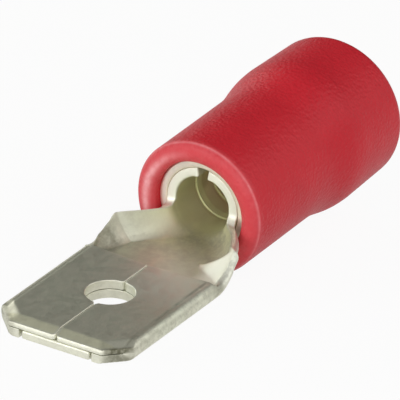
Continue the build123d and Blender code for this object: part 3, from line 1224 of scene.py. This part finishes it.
@dataclass
class InsulatingSleeve(TurnedPiece):
    """The moulded sleeve: lip, neck, flare and a funnel for the wire.

    Attributes:
        rim: how far the rim's ridge lies before the lip's end and under the
            neck's skin.
        rim_start: handle towards the ridge from the lip's face.
        rim_end: handle away from the ridge.
        rim_ease: how far the neck's start is softened.
        lip_hold: how far the lip's handles reach to its corners.
        flare_ease: how long the flare's two bends are, as shares of it.
        skin: radius at which the outer skin starts, and is full.
        uneven_by: depth of the moulding's slight unevenness.
    """

    name: str = "insulating_sleeve_moulding"
    turns: int = 288
    start: float = 10.33
    end: float = 21.386
    neck: float = 2.94
    neck_end: float = 15.43
    flare_start: float = 18.25
    flare_ease: XY = (0.50, 0.46)
    flare: float = 3.265
    rear: float = 3.18
    rear_edge: float = 0.42
    lip: float = 0.30
    lip_hold: float = 0.5523
    rim: XY = (0.09, 0.055)
    rim_start: XY = (0.09, 0.06)
    rim_end: XY = (0.05, 0.033)
    rim_ease: float = 0.03
    bore: float = 2.030
    entry: float = 2.55
    entry_edge: float = 0.10
    entry_length: float = 3.60
    funnel_length: float = 0.90
    funnel_ease: float = 0.3
    skin: XY = (2.75, 2.90)
    uneven_by: float = 0.006

    def outline(self) -> list[XY]:
        """Draw the sleeve's wall from the lip round to the bore.

        Returns:
            Rows of X and radius.
        """
        x0, x1, lip, neck = self.start, self.end, self.start + self.lip, self.neck
        crest = (self.bore + neck) / 2
        ridge_x, ridge = lip - self.rim[0], neck - self.rim[1]
        rows = round_corner((lip, self.bore), (x0, self.bore), (x0, crest), 14,
                            self.lip_hold)
        rows += bend_line(
            (x0, crest), (x0, crest + self.lip_hold * (neck - crest)),
            (ridge_x - self.rim_start[0], ridge - self.rim_start[1]),
            (ridge_x, ridge), 14)
        front = lip + self.rim_ease
        rows += bend_line(
            (ridge_x, ridge), (ridge_x + self.rim_end[0], ridge + self.rim_end[1]),
            (lip - self.rim_ease, neck), (front, neck), 7)
        rows += straight((front, neck), (self.neck_end, neck), 26)
        rise, level = (share * (self.flare_start - self.neck_end)
                       for share in self.flare_ease)
        rows += bend_line(
            (self.neck_end, neck), (self.neck_end + rise, neck),
            (self.flare_start - level, self.flare), (self.flare_start, self.flare), 26)
        re, e = self.rear_edge, self.entry_edge
        rows += straight((self.flare_start, self.flare), (x1 - re, self.rear), 20)
        rows += round_corner((x1 - re, self.rear), (x1, self.rear),
                             (x1, self.rear - re), 10)
        rows += straight((x1, self.rear - re), (x1, self.entry + e), 3)
        rows += bend_line((x1, self.entry + e), (x1, self.entry + e * 0.45),
                          (x1 - e * 0.55, self.entry), (x1 - e, self.entry), 5)
        entry = x1 - self.entry_length
        funnel, ease = entry - self.funnel_length, self.funnel_ease
        rows += straight((x1 - e, self.entry), (entry, self.entry), 14)
        rows += bend_line((entry, self.entry), (entry - ease, self.entry),
                          (funnel + ease, self.bore), (funnel, self.bore), 10)
        rows += straight((funnel, self.bore), (lip, self.bore), 20)
        return rows

    def uneven(self, x: Array, r: Array, turn: Array) -> Array:
        """Give the moulding its slight unevenness on the outside, never outward."""
        wave = (np.sin(2 * turn + 0.6) * 0.5 + np.sin(3 * turn + 0.35 * x) * 0.3
                + np.sin(5 * turn - 0.8 * x + 1.3) * 0.2)
        return -self.uneven_by * (1 + wave) * ramp(r, *self.skin)

    def edge_marks(self, x: Array, r: Array, turn: Array) -> Array:
        """Mark the painted highlight on the lip: a faint sheen on its face, a stripe at
        mid-wall on its left and a line along its rim.

        Args:
            x: places along X.
            r: radii.
            turn: angles round the axis.

        Returns:
            How strong the painted highlight is at each point.
        """
        face = ramp(x - self.start, self.lip, 0.16)
        middle = bell(r, 2.42, 0.16)
        side = bell(np.mod(turn + 0.2, FULL_TURN), QUARTER_TURN, 0.75)
        rim = bell(r, 2.895, 0.03) * (x < self.start + 0.34)
        return np.clip(face * (0.11 + 0.92 * middle * side) + 0.34 * rim, 0, 1)


class Socket(Enum):
    """Kinds of socket used by the shared effects."""

    NUMBER = "NodeSocketFloat"
    VECTOR = "NodeSocketVector"


@dataclass
class NodeBoard:
    """A short way to add and join nodes in one tree.

    Attributes:
        tree: the tree that is worked on.
    """

    tree: bpy.types.NodeTree

    def add(self, kind: str, inputs: dict[int | str, object] | None = None,
            **values: object) -> bpy.types.Node:
        """Add a node.

        Args:
            kind: its type.
            inputs: what its inputs are given, by name or number.
            **values: its plain properties.

        Returns:
            The node.
        """
        made = self.tree.nodes.new(kind)
        for key, value in values.items():
            setattr(made, key, value)
        self.fill(made, inputs or {})
        return made

    def fill(self, node: bpy.types.Node, inputs: dict[int | str, object]) -> None:
        """Give a node's inputs what they take.

        Args:
            node: the node.
            inputs: a socket to join, or a plain value, by name or number.
        """
        for key, value in inputs.items():
            slot = node.inputs[key]
            if isinstance(value, NodeSocket):
                self.tree.links.new(value, slot)
            elif slot.type == "RGBA":
                slot.default_value = (*value, 1.0)
            else:
                slot.default_value = value

    def mark(self, name: str) -> NodeSocket:
        """Read one of the marks that the mesh carries."""
        return self.add("ShaderNodeAttribute", attribute_name=name).outputs["Fac"]

    def maths(self, how: str, a: object, b: object) -> NodeSocket:
        """Join two numbers, each a socket or a plain value, by an operation."""
        return self.add("ShaderNodeMath", {0: a, 1: b}, operation=how).outputs[0]

    def remap(self, value: NodeSocket, low: float, high: float,
              to_low: float = 0.0, to_high: float = 1.0) -> NodeSocket:
        """Stretch a range of numbers onto another one, with soft ends."""
        return self.add(
            "ShaderNodeMapRange",
            {"Value": value, "From Min": low, "From Max": high, "To Min": to_low,
             "To Max": to_high}, interpolation_type="SMOOTHSTEP").outputs["Result"]

    def tint(self, factor: object, a: object, b: object) -> NodeSocket:
        """Mix two colours, each a socket or a plain colour, by the second's share."""
        return self.add("ShaderNodeMix", {0: factor, 6: a, 7: b},
                        data_type="RGBA").outputs[2]

    def noise(self, place: NodeSocket, scale: float, detail: float,
              rough: float) -> NodeSocket:
        """Add a noise of a given scale per metre, detail and roughness."""
        return self.add(
            "ShaderNodeTexNoise", {"Vector": place, "Scale": scale, "Detail": detail,
                                   "Roughness": rough}).outputs["Fac"]

    def place(self) -> NodeSocket:
        """Give the place on the object at which a finish is read."""
        return self.add("ShaderNodeTexCoord").outputs["Object"]


class SharedEffect:
    """An effect that several finishes place with their own values."""

    name = "effect"

    def __init__(self) -> None:
        """Build the group once."""
        self.tree = bpy.data.node_groups.new(self.name, "ShaderNodeTree")
        self.board = NodeBoard(self.tree)
        self.entry = self.board.add("NodeGroupInput")
        self.exit = self.board.add("NodeGroupOutput")
        self.draw(self.board, self.takes("Place", Socket.VECTOR))

    def takes(self, name: str, kind: Socket, value: object = None) -> NodeSocket:
        """Add a named input with its usual value, and give its socket inside.

        Args:
            name: the input's name.
            kind: what it takes.
            value: its usual value, if it has one.

        Returns:
            The socket inside.
        """
        made = self.tree.interface.new_socket(name, in_out="INPUT",
                                              socket_type=kind.value)
        if value is not None:
            made.default_value = value
        return self.entry.outputs[name]

    def gives(self, name: str, source: NodeSocket) -> None:
        """Add a named number as output and feed it."""
        self.tree.interface.new_socket(name, in_out="OUTPUT",
                                       socket_type=Socket.NUMBER.value)
        self.board.fill(self.exit, {name: source})

    def draw(self, board: NodeBoard, place: NodeSocket) -> None:
        """Draw the group's nodes on its board, read at a place."""
        raise NotImplementedError

    def put(self, board: NodeBoard, place: NodeSocket,
            **values: float) -> bpy.types.NodeOutputs:
        """Place the effect in a material.

        Args:
            board: the material's nodes.
            place: where the effect is read.
            **values: the effect's own values by input name.

        Returns:
            The placed group's outputs.
        """
        inputs = {key.replace("_", " "): value for key, value in values.items()}
        return board.add("ShaderNodeGroup", {"Place": place, **inputs},
                         node_tree=self.tree).outputs


class RolledGrain(SharedEffect):
    """Fine lines that rolling leaves along a sheet, with a few scratches."""

    name = "rolled_grain"

    def draw(self, board: NodeBoard, place: NodeSocket) -> None:
        """Draw long thin noise along X, sparse crossing scratches and pits.

        Args:
            board: the group's nodes.
            place: where the effect is read.
        """
        line_depth = self.takes("Line Depth", Socket.NUMBER, 1.0)
        scratch_depth = self.takes("Scratch Depth", Socket.NUMBER, 1.0)
        along = board.add("ShaderNodeVectorMath", {0: place, 1: (0.10, 1.0, 1.0)},
                          operation="MULTIPLY").outputs[0]
        across = board.add("ShaderNodeMapping", {
            "Rotation": (0.3, 0.5, 0.9), "Scale": (0.05, 1.0, 1.0),
            "Vector": place}).outputs[0]
        lines = board.noise(along, 26000.0, 3.0, 0.6)
        scratches = board.remap(board.noise(across, 9000.0, 2.0, 0.5), 0.66, 0.74)
        pits = board.noise(place, 42000.0, 2.0, 0.5)
        height = board.maths("ADD", board.maths("MULTIPLY", lines, line_depth),
                             board.maths("MULTIPLY", pits, 0.5))
        cut = board.maths("MULTIPLY", scratches, scratch_depth)
        self.gives("Height", board.maths("SUBTRACT", height, cut))
        self.gives("Lines", lines)


class CloudyFilm(SharedEffect):
    """Soft clouds of tone, as on plating or on moulded vinyl."""

    name = "cloudy_film"

    def draw(self, board: NodeBoard, place: NodeSocket) -> None:
        """Draw two sizes of soft noise.

        Args:
            board: the group's nodes.
            place: where the effect is read.
        """
        size = self.takes("Size", Socket.NUMBER, 1.0)
        scaled = board.add("ShaderNodeVectorMath", {0: place, "Scale": size},
                           operation="SCALE").outputs[0]
        wide = board.noise(scaled, 380.0, 2.0, 0.5)
        small = board.noise(scaled, 2600.0, 3.0, 0.6)
        self.gives("Wide", board.remap(wide, 0.32, 0.68))
        self.gives("Small", board.remap(small, 0.30, 0.70))


class PressedEdge(SharedEffect):
    """Bright edges, worn on the sheet and a painted highlight on the ring, and dull
    marks of tarnishing and painted shade, from what the mesh is marked with.
    """

    name = "pressed_edge"

    def draw(self, board: NodeBoard, place: NodeSocket) -> None:
        """Break the mesh's marks up with a little noise.

        Args:
            board: the group's nodes.
            place: where the effect is read.
        """
        rough = self.takes("Unevenness", Socket.NUMBER, 0.5)
        edge = board.mark("edge")
        grain = board.noise(place, 5200.0, 3.0, 0.6)
        uneven = board.maths("MULTIPLY", board.maths("SUBTRACT", grain, 0.5), rough)
        bright = board.remap(board.maths("ADD", edge, uneven), 0.35, 0.95)
        streaks = board.remap(board.noise(place, 1500.0, 2.0, 0.5),
                              0.36, 0.56, 0.25, 1.0)
        blotches = board.remap(grain, 0.30, 0.60, 0.7, 1.0)
        specks = board.remap(board.noise(place, 6000.0, 3.0, 0.6),
                             0.46, 0.66, 0.0, 0.20)
        # Painted shade along the right fold's crease, broken into streaks
        dull = board.maths("MULTIPLY", board.mark("painted_fold_shade"), streaks)
        # Stain marks, mostly painted shade, and the folds' pits darken the finish too
        for mark, broken in (("stain_and_shade", blotches), ("pitted", specks)):
            dull = board.maths("MAXIMUM", dull,
                               board.maths("MULTIPLY", board.mark(mark), broken))
        near = board.remap(edge, 0.05, 0.3)
        self.gives("Bright", board.maths("MULTIPLY", bright, near))
        self.gives("Dull", dull)


class MouldedSkin(SharedEffect):
    """The fine leathery skin of moulded vinyl."""

    name = "moulded_skin"

    def draw(self, board: NodeBoard, place: NodeSocket) -> None:
        """Draw small soft cells with finer grain on them.

        Args:
            board: the group's nodes.
            place: where the effect is read.
        """
        cells = self.takes("Cells", Socket.NUMBER, 1.0)
        cell = board.add("ShaderNodeTexVoronoi", {
            "Vector": place, "Scale": 7200.0, "Smoothness": 0.7}, feature="SMOOTH_F1")
        fine = board.noise(place, 16000.0, 3.0, 0.6)
        broad = board.noise(place, 2400.0, 2.0, 0.5)
        height = board.maths("MULTIPLY", cell.outputs["Distance"], cells)
        for grain, depth in ((fine, 0.35), (broad, 0.8)):
            height = board.maths("ADD", height, board.maths("MULTIPLY", grain, depth))
        self.gives("Height", height)
        self.gives("Pores", board.remap(fine, 0.35, 0.7))


def start_material(
    name: str,
) -> tuple[bpy.types.Material, NodeBoard, bpy.types.Node]:
    """Start a named material, and give it with its nodes and its shader.

    Args:
        name: the material's name.

    Returns:
        The material, its nodes and its shader.
    """
    made = bpy.data.materials.new(name)
    made.use_nodes = True
    return made, NodeBoard(made.node_tree), made.node_tree.nodes["Principled BSDF"]


def add_bump(board: NodeBoard, shader: bpy.types.Node, height: NodeSocket,
             strength: float, distance: float) -> None:
    """Feed a height to the shader through a bump, its distance in metres."""
    bump = board.add("ShaderNodeBump", {"Strength": strength, "Distance": distance,
                                        "Height": height})
    board.fill(shader, {"Normal": bump.outputs["Normal"]})


@dataclass(frozen=True)
class TinFinish:
    """Satin tin plating on brass or copper.

    Attributes:
        name: the material's name.
        base: its plain colour.
        warm: colour of its warmer clouds.
        deep: colour in the hollow of the barrel.
        roughness: lowest and highest roughness.
        line_depth: depth of the rolled grain.
        metal: how metallic the hazy plating looks.
        fleck: colour of its small flecks, and how strong they are.
        painted_reflection: colour of its painted reflection, a greyer, greener tone.
        bright: colour of its paler edges, worn on the sheet and a painted highlight on
            the ring's front, and how strong they are.
        painted_highlight: colour of its painted highlight, and how frosted, less
            metallic, it is there.
        tarnish_and_shade: colour of its tarnishing and of its painted shade, and how
            much rougher it is there.
        bump: strength and depth of its relief.
    """

    name: str
    base: RGB
    warm: RGB
    deep: RGB
    roughness: XY
    line_depth: float
    metal: float = 0.86
    fleck: tuple[RGB, float] = ((0.52, 0.51, 0.42), 0.40)
    painted_reflection: RGB = (0.80, 0.89, 0.77)
    bright: tuple[RGB, float] = ((0.86, 0.85, 0.76), 0.35)
    painted_highlight: tuple[RGB, float] = ((0.91, 0.925, 0.80), 0.45)
    tarnish_and_shade: tuple[RGB, float] = ((0.16, 0.155, 0.10), 0.25)
    bump: XY = (0.5, 0.000005)

    def make(self, effects: dict[str, SharedEffect]) -> bpy.types.Material:
        """Build the material.

        Args:
            effects: the shared effects by name.

        Returns:
            The material.
        """
        made, board, shader = start_material(self.name)
        place = board.place()
        grain = effects["grain"].put(board, place, Line_Depth=self.line_depth,
                                     Scratch_Depth=0.6)
        film = effects["film"].put(board, place, Size=1.0)
        edge = effects["edge"].put(board, place, Unevenness=0.5)
        # Painted highlight: paler and less metallic where the mesh is marked
        painted_shine = board.mark("painted_shine")
        colour = board.tint(film["Wide"], self.base, self.warm)
        for share, tone in (
                (board.maths("MULTIPLY", film["Small"], self.fleck[1]), self.fleck[0]),
                # After the barrel's yellower tone, a greyer, greener painted reflection
                # tone is mixed in
                (board.mark("hollow"), self.deep), (board.mark("painted_reflection"), self.painted_reflection),
                (board.maths("MULTIPLY", edge["Bright"], self.bright[1]),
                 self.bright[0]),
                (painted_shine, self.painted_highlight[0]), (edge["Dull"], self.tarnish_and_shade[0])):
            colour = board.tint(share, colour, tone)
        mixed = board.maths("ADD", *(board.maths("MULTIPLY", value, 0.5)
                                     for value in (film["Small"], grain["Lines"])))
        # Painted shade and tarnishing both make the finish rougher
        rough = board.maths("ADD", board.remap(mixed, 0.1, 0.9, *self.roughness),
                            board.maths("MULTIPLY", edge["Dull"], self.tarnish_and_shade[1]))
        frosted = board.maths("MULTIPLY", painted_shine, self.painted_highlight[1])
        board.fill(shader, {"Base Color": colour, "Roughness": rough,
                            "Metallic": board.maths("SUBTRACT", self.metal, frosted)})
        add_bump(board, shader, grain["Height"], *self.bump)
        return made


@dataclass(frozen=True)
class VinylFinish:
    """Satin moulded vinyl.

    Attributes:
        name: the material's name.
        base: its plain colour.
        deep: colour of its darker clouds.
        pale: colour of the painted highlight on its lip.
        roughness: lowest and highest roughness.
        pore: colour of its pores, and how strong they are.
        bump: strength and depth of its relief.
    """

    name: str
    base: RGB
    deep: RGB
    pale: RGB
    roughness: XY
    pore: tuple[RGB, float] = ((0.56, 0.07, 0.08), 0.14)
    bump: XY = (0.9, 0.000026)

    def make(self, effects: dict[str, SharedEffect]) -> bpy.types.Material:
        """Build the material.

        Args:
            effects: the shared effects by name.

        Returns:
            The material.
        """
        made, board, shader = start_material(self.name)
        place = board.place()
        skin = effects["skin"].put(board, place, Cells=1.0)
        film = effects["film"].put(board, place, Size=0.8)
        # Painted highlight on the lip, where the mesh's edge mark is set
        painted_highlight = board.maths("MULTIPLY", board.mark("edge"),
                             board.remap(film["Small"], 0.0, 1.0, 0.7, 1.0))
        colour = board.tint(film["Wide"], self.base, self.deep)
        for share, tone in (
                (board.maths("MULTIPLY", skin["Pores"], self.pore[1]), self.pore[0]),
                (painted_highlight, self.pale)):
            colour = board.tint(share, colour, tone)
        board.fill(shader, {
            "Base Color": colour, "IOR": 1.5, "Specular IOR Level": 0.25,
            "Metallic": 0.0,
            "Roughness": board.remap(skin["Pores"], 0.0, 1.0, *self.roughness)})
        add_bump(board, shader, skin["Height"], *self.bump)
        return made


class Finish(Enum):
    """The finishes that the pieces are given."""

    SHEET = TinFinish("satin_tin_sheet", (0.80, 0.815, 0.665), (0.80, 0.79, 0.655),
                      (0.84, 0.83, 0.565), (0.40, 0.52), 1.0)
    # The ring's pinkish tone is a painted reflection of the red sleeve
    RING = TinFinish("satin_tin_ring", (0.98, 0.74, 0.65), (0.97, 0.70, 0.61),
                     (0.98, 0.74, 0.65), (0.28, 0.40), 0.6)
    VINYL = VinylFinish("moulded_red_vinyl", (0.63, 0.021, 0.034),
                        (0.56, 0.016, 0.028), (0.92, 0.44, 0.46), (0.38, 0.52))


@dataclass
class StudioView:
    """The camera at the photograph's place."""

    name: str = "studio_camera"
    place_mm: XYZ = (-278.32782, -159.72221, 135.61391)
    forward: XYZ = (0.80148284, 0.46046363, -0.38157372)
    right: XYZ = (0.52545715, -0.84688578, 0.08172677)
    lens: float = 774.0546613
    sensor: float = 36.0
    clip_start: float = 0.01

    def build(self) -> None:
        """Make the camera and use it."""
        data = bpy.data.cameras.new(self.name)
        data.sensor_width = self.sensor
        data.lens = self.lens
        data.clip_start = self.clip_start
        back, right = -Vector(self.forward), Vector(self.right)
        turn = Matrix((right, back.cross(right), back)).transposed().to_4x4()
        made = set_out(self.name, data)
        made.matrix_world = Matrix.Translation(Vector(self.place_mm) * MM) @ turn
        bpy.context.scene.camera = made


@dataclass
class SoftLamp:
    """A square soft white lamp that shines at the part.

    Attributes:
        name: its name.
        place_mm: where it stands.
        size_mm: length of its side.
        power: its power in watts.
        aim_mm: the point at which it is aimed.
    """

    name: str
    place_mm: XYZ
    size_mm: float
    power: float
    aim_mm: XYZ = (0.0, 0.0, 3.0)

    def build(self) -> None:
        """Make the lamp and aim it."""
        data = bpy.data.lights.new(self.name, "AREA")
        data.size = self.size_mm * MM
        data.energy = self.power
        made = set_out(self.name, data)
        made.location = Vector(self.place_mm) * MM
        aim = Vector(self.aim_mm) * MM - made.location
        made.rotation_euler = aim.to_track_quat("-Z", "Y").to_euler()


@dataclass
class RoomPatch:
    """A part of the room that is lighter or darker than the rest.

    Attributes:
        towards: direction in which it lies.
        inner: closeness to that direction at which it is full.
        outer: closeness at which it has ended.
        tone: its colour.
    """

    towards: XYZ
    inner: float
    outer: float
    tone: RGB


@dataclass
class Studio:
    """The floor, the room round it and the lamps.

    Attributes:
        floor_half: half of the floor's side, in metres.
        floor_tone: the floor's colour.
        floor_lift: how much of the floor is seen as plain white.
        mirror_lift: how much of it is mirrored as plain white.
        low_tone: colour of the room's walls.
        high_tone: colour of its ceiling.
        wall_rise: where the walls turn into the ceiling.
        patches: what differs from both.
        lamps: the lamps.
    """

    floor_half: float = 0.6
    floor_tone: RGB = (0.90, 0.90, 0.89)
    floor_lift: float = 0.93
    mirror_lift: float = 0.55
    low_tone: RGB = (0.70, 0.70, 0.68)
    high_tone: RGB = (0.20, 0.20, 0.195)
    wall_rise: XY = (0.05, 0.75)
    patches: tuple[RoomPatch, ...] = (
        RoomPatch((0.72, 0.32, 0.62), 0.92, 0.62, (0.02, 0.026, 0.02)),
        RoomPatch((0.20, -0.97, 0.12), 0.92, 0.55, (0.44, 0.43, 0.415)),
        RoomPatch((0.35, 0.85, 0.38), 0.985, 0.93, (2.15, 2.12, 2.02)),
    )
    lamps: tuple[SoftLamp, ...] = (
        SoftLamp("front_softbox", (-310.0, -190.0, 190.0), 300.0, 0.58),
        SoftLamp("side_softbox", (130.0, -245.0, 265.0), 240.0, 0.27),
        SoftLamp("left_softbox", (-220.0, 200.0, 150.0), 240.0, 0.25),
        SoftLamp("low_softbox", (-330.0, 90.0, 80.0), 260.0, 0.30),
    )

    def build(self) -> None:
        """Make the floor, the room and the lamps."""
        self.build_floor()
        self.build_room()
        for lamp in self.lamps:
            lamp.build()

    def build_floor(self) -> None:
        """Make the pale floor, which shows as white and keeps the shadow."""
        half = self.floor_half
        mesh = bpy.data.meshes.new("studio_floor")
        mesh.from_pydata(
            [(-half, -half, 0), (half, -half, 0), (half, half, 0), (-half, half, 0)],
            [], [(0, 1, 2, 3)])
        made, board, shader = start_material("pale_floor")
        board.fill(shader, {"Base Color": self.floor_tone, "Roughness": 0.9,
                            "Specular IOR Level": 0.1})
        white = board.add("ShaderNodeEmission", {"Color": (1.0, 1.0, 1.0),
                                                 "Strength": 1.0})
        ray = board.add("ShaderNodeLightPath").outputs
        mirrored = board.maths("MAXIMUM", ray["Is Glossy Ray"],
                               ray["Is Transmission Ray"])
        share = board.maths(
            "MAXIMUM", board.maths("MULTIPLY", ray["Is Camera Ray"], self.floor_lift),
            board.maths("MULTIPLY", mirrored, self.mirror_lift))
        blend = board.add("ShaderNodeMixShader",
                          {0: share, 1: shader.outputs[0], 2: white.outputs[0]})
        board.fill(made.node_tree.nodes["Material Output"], {0: blend.outputs[0]})
        mesh.materials.append(made)
        floor = set_out("studio_floor", mesh)

    def build_room(self) -> None:
        """Make the room's light: pale walls, a dim ceiling, a few patches."""
        world = bpy.data.worlds.new("studio_room")
        world.use_nodes = True
        bpy.context.scene.world = world
        board = NodeBoard(world.node_tree)
        towards = board.add("ShaderNodeTexCoord").outputs["Generated"]
        height = board.add("ShaderNodeSeparateXYZ", {0: towards}).outputs["Z"]
        tone = board.tint(board.remap(height, *self.wall_rise), self.low_tone,
                          self.high_tone)
        for patch in self.patches:
            dot = board.add(
                "ShaderNodeVectorMath",
                {0: towards, 1: Vector(patch.towards).normalized()},
                operation="DOT_PRODUCT")
            share = board.remap(dot.outputs["Value"], patch.outer, patch.inner)
            tone = board.tint(share, tone, patch.tone)
        board.fill(world.node_tree.nodes["Background"], {"Color": tone})


def dress(piece: bpy.types.Object, node: str,
          finish: bpy.types.Material) -> None:
    """Give a piece its finish, hang it on the root and hide the drawn part that it
    replaces.

    Args:
        piece: the piece.
        node: the drawn part that it replaces.
        finish: the material.
    """
    piece.data.materials.append(finish)
    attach(piece, "root")
    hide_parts(node)
    LOG.info("%s: %d faces", piece.name, len(piece.data.polygons))


def main() -> None:
    """Build the pieces in order and report each one."""
    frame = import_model()
    LOG.info("drawn nodes: %d", len(frame["nodes"]))
    bpy.context.scene.view_settings.view_transform = "Standard"
    effects = {"grain": RolledGrain(), "film": CloudyFilm(),
               "edge": PressedEdge(), "skin": MouldedSkin()}
    dress(BladeTerminal().build(), "blade_terminal",
          Finish.SHEET.value.make(effects))
    dress(SupportRing().build(), "support_ring",
          Finish.RING.value.make(effects))
    dress(InsulatingSleeve().build(), "insulating_sleeve",
          Finish.VINYL.value.make(effects))
    StudioView().build()
    Studio().build()


if __name__ == "__main__":
    logging.basicConfig(level=logging.INFO)
    main()
